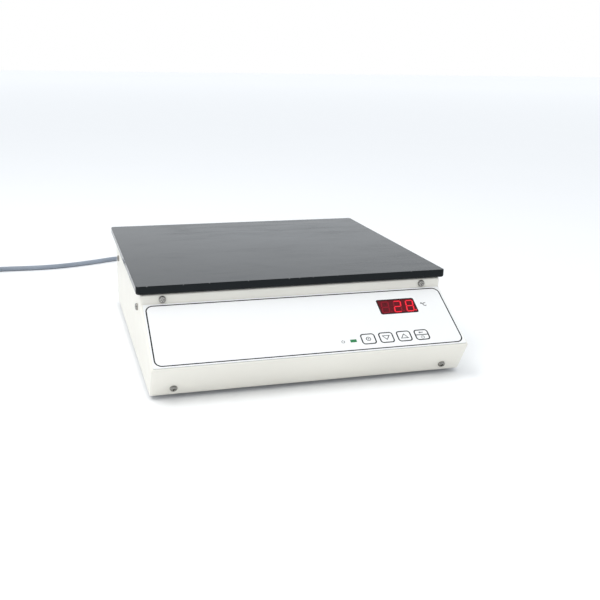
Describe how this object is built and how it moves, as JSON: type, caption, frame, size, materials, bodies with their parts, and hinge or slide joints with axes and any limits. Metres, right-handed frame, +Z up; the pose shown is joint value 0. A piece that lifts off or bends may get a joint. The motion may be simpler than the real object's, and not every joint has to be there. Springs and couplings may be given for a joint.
{
  "type": "slide warmer",
  "caption": "Laboratory bench slide warmer: a flat black hotplate for drying microscope slides on a low sheet-metal housing with a sloping control panel, digital display and mains lead.",
  "frame": {"origin": "on the table, under the middle of the object's box without its cord", "axes": "+Z up, the sloping control panel faces -Y, +X to the operator's right"},
  "size_m": [0.624, 0.6351, 0.103],
  "materials": {
    "black_coated_aluminium": "satin black hard coating",
    "silicone_rubber": "smooth",
    "mineral_fibre": "fibrous board",
    "zinc_plated_sheet": "zinc plated",
    "ceramic": "unglazed ceramic",
    "screw_steel": "nickel plated",
    "bare_aluminium": "milled",
    "dark_plastic": "moulded",
    "cream_paint": "fine textured powder coat",
    "membrane": "printed circuit film",
    "overlay_foil": "matt polyester foil",
    "red_filter": "dark red acrylic",
    "circuit_board": "solder resist",
    "display_module": "moulded",
    "green_led": "diffused lens",
    "brass_spacer": "nickel-free brass",
    "rubber": "moulded",
    "green_plastic": "moulded",
    "pin_brass": "nickel plated",
    "fuse_glass": "clear tube",
    "wire_pvc": "insulated wire",
    "ribbon_pvc": "flat cable",
    "grey_pvc": "smooth cable sheath",
    "tie_strip": "hook-and-loop strip"
  },
  "bodies": {
    "base": {"hot_plate": "black_coated_aluminium", "heater_mat": "silicone_rubber", "insulation_board": "mineral_fibre", "carrier_tray": "zinc_plated_sheet", "plate_spacers": "ceramic", "plate_screws": "screw_steel", "sensor_block": "bare_aluminium", "temperature_sensor": "screw_steel", "sensor_screws": "screw_steel", "thermal_cutout": "dark_plastic", "cutout_screws": "screw_steel", "housing": "cream_paint", "keypad_membrane": "membrane", "front_overlay": "overlay_foil", "display_window": "red_filter", "display_board": "circuit_board", "display_digits": "display_module", "power_led": "green_led", "display_studs": "screw_steel", "display_spacers": "brass_spacer", "display_nuts": "screw_steel", "base_pan": "zinc_plated_sheet", "feet": "rubber", "foot_screws": "screw_steel", "foot_nuts": "screw_steel", "board_spacers": "brass_spacer", "control_board": "circuit_board", "board_screws": "screw_steel", "transformer": "dark_plastic", "heat_sink": "bare_aluminium", "triac": "dark_plastic", "terminal_block": "green_plastic", "filter_capacitor": "dark_plastic", "rear_panel": "cream_paint", "case_screws": "screw_steel", "case_nuts": "screw_steel", "power_inlet": "dark_plastic", "inlet_pins": "pin_brass", "inlet_screws": "screw_steel", "inlet_nuts": "screw_steel", "switch_frame": "dark_plastic", "fuse_holder": "dark_plastic", "fuse_nut": "dark_plastic", "fuse_cap": "dark_plastic", "fuse_link": "fuse_glass", "earth_stud": "screw_steel", "earth_nut": "screw_steel", "mains_wiring": "wire_pvc", "heater_leads": "wire_pvc", "sensor_lead": "wire_pvc", "ribbon_cable": "ribbon_pvc", "cord_connector": "grey_pvc", "cord": "grey_pvc", "cord_coil": "grey_pvc", "cord_tie": "tie_strip", "cord_tail": "grey_pvc", "mains_plug": "grey_pvc", "plug_pins": "pin_brass"},
    "rocker": {"switch_rocker": "dark_plastic"}
  },
  "joints": [
    {"name": "mains_switch_rock", "type": "hinge", "parent": "base", "child": "rocker", "pos_m": [-0.036, 0.1798, 0.034], "axis": [1, 0, 0], "range_deg": [-20, 0]}
  ]
}
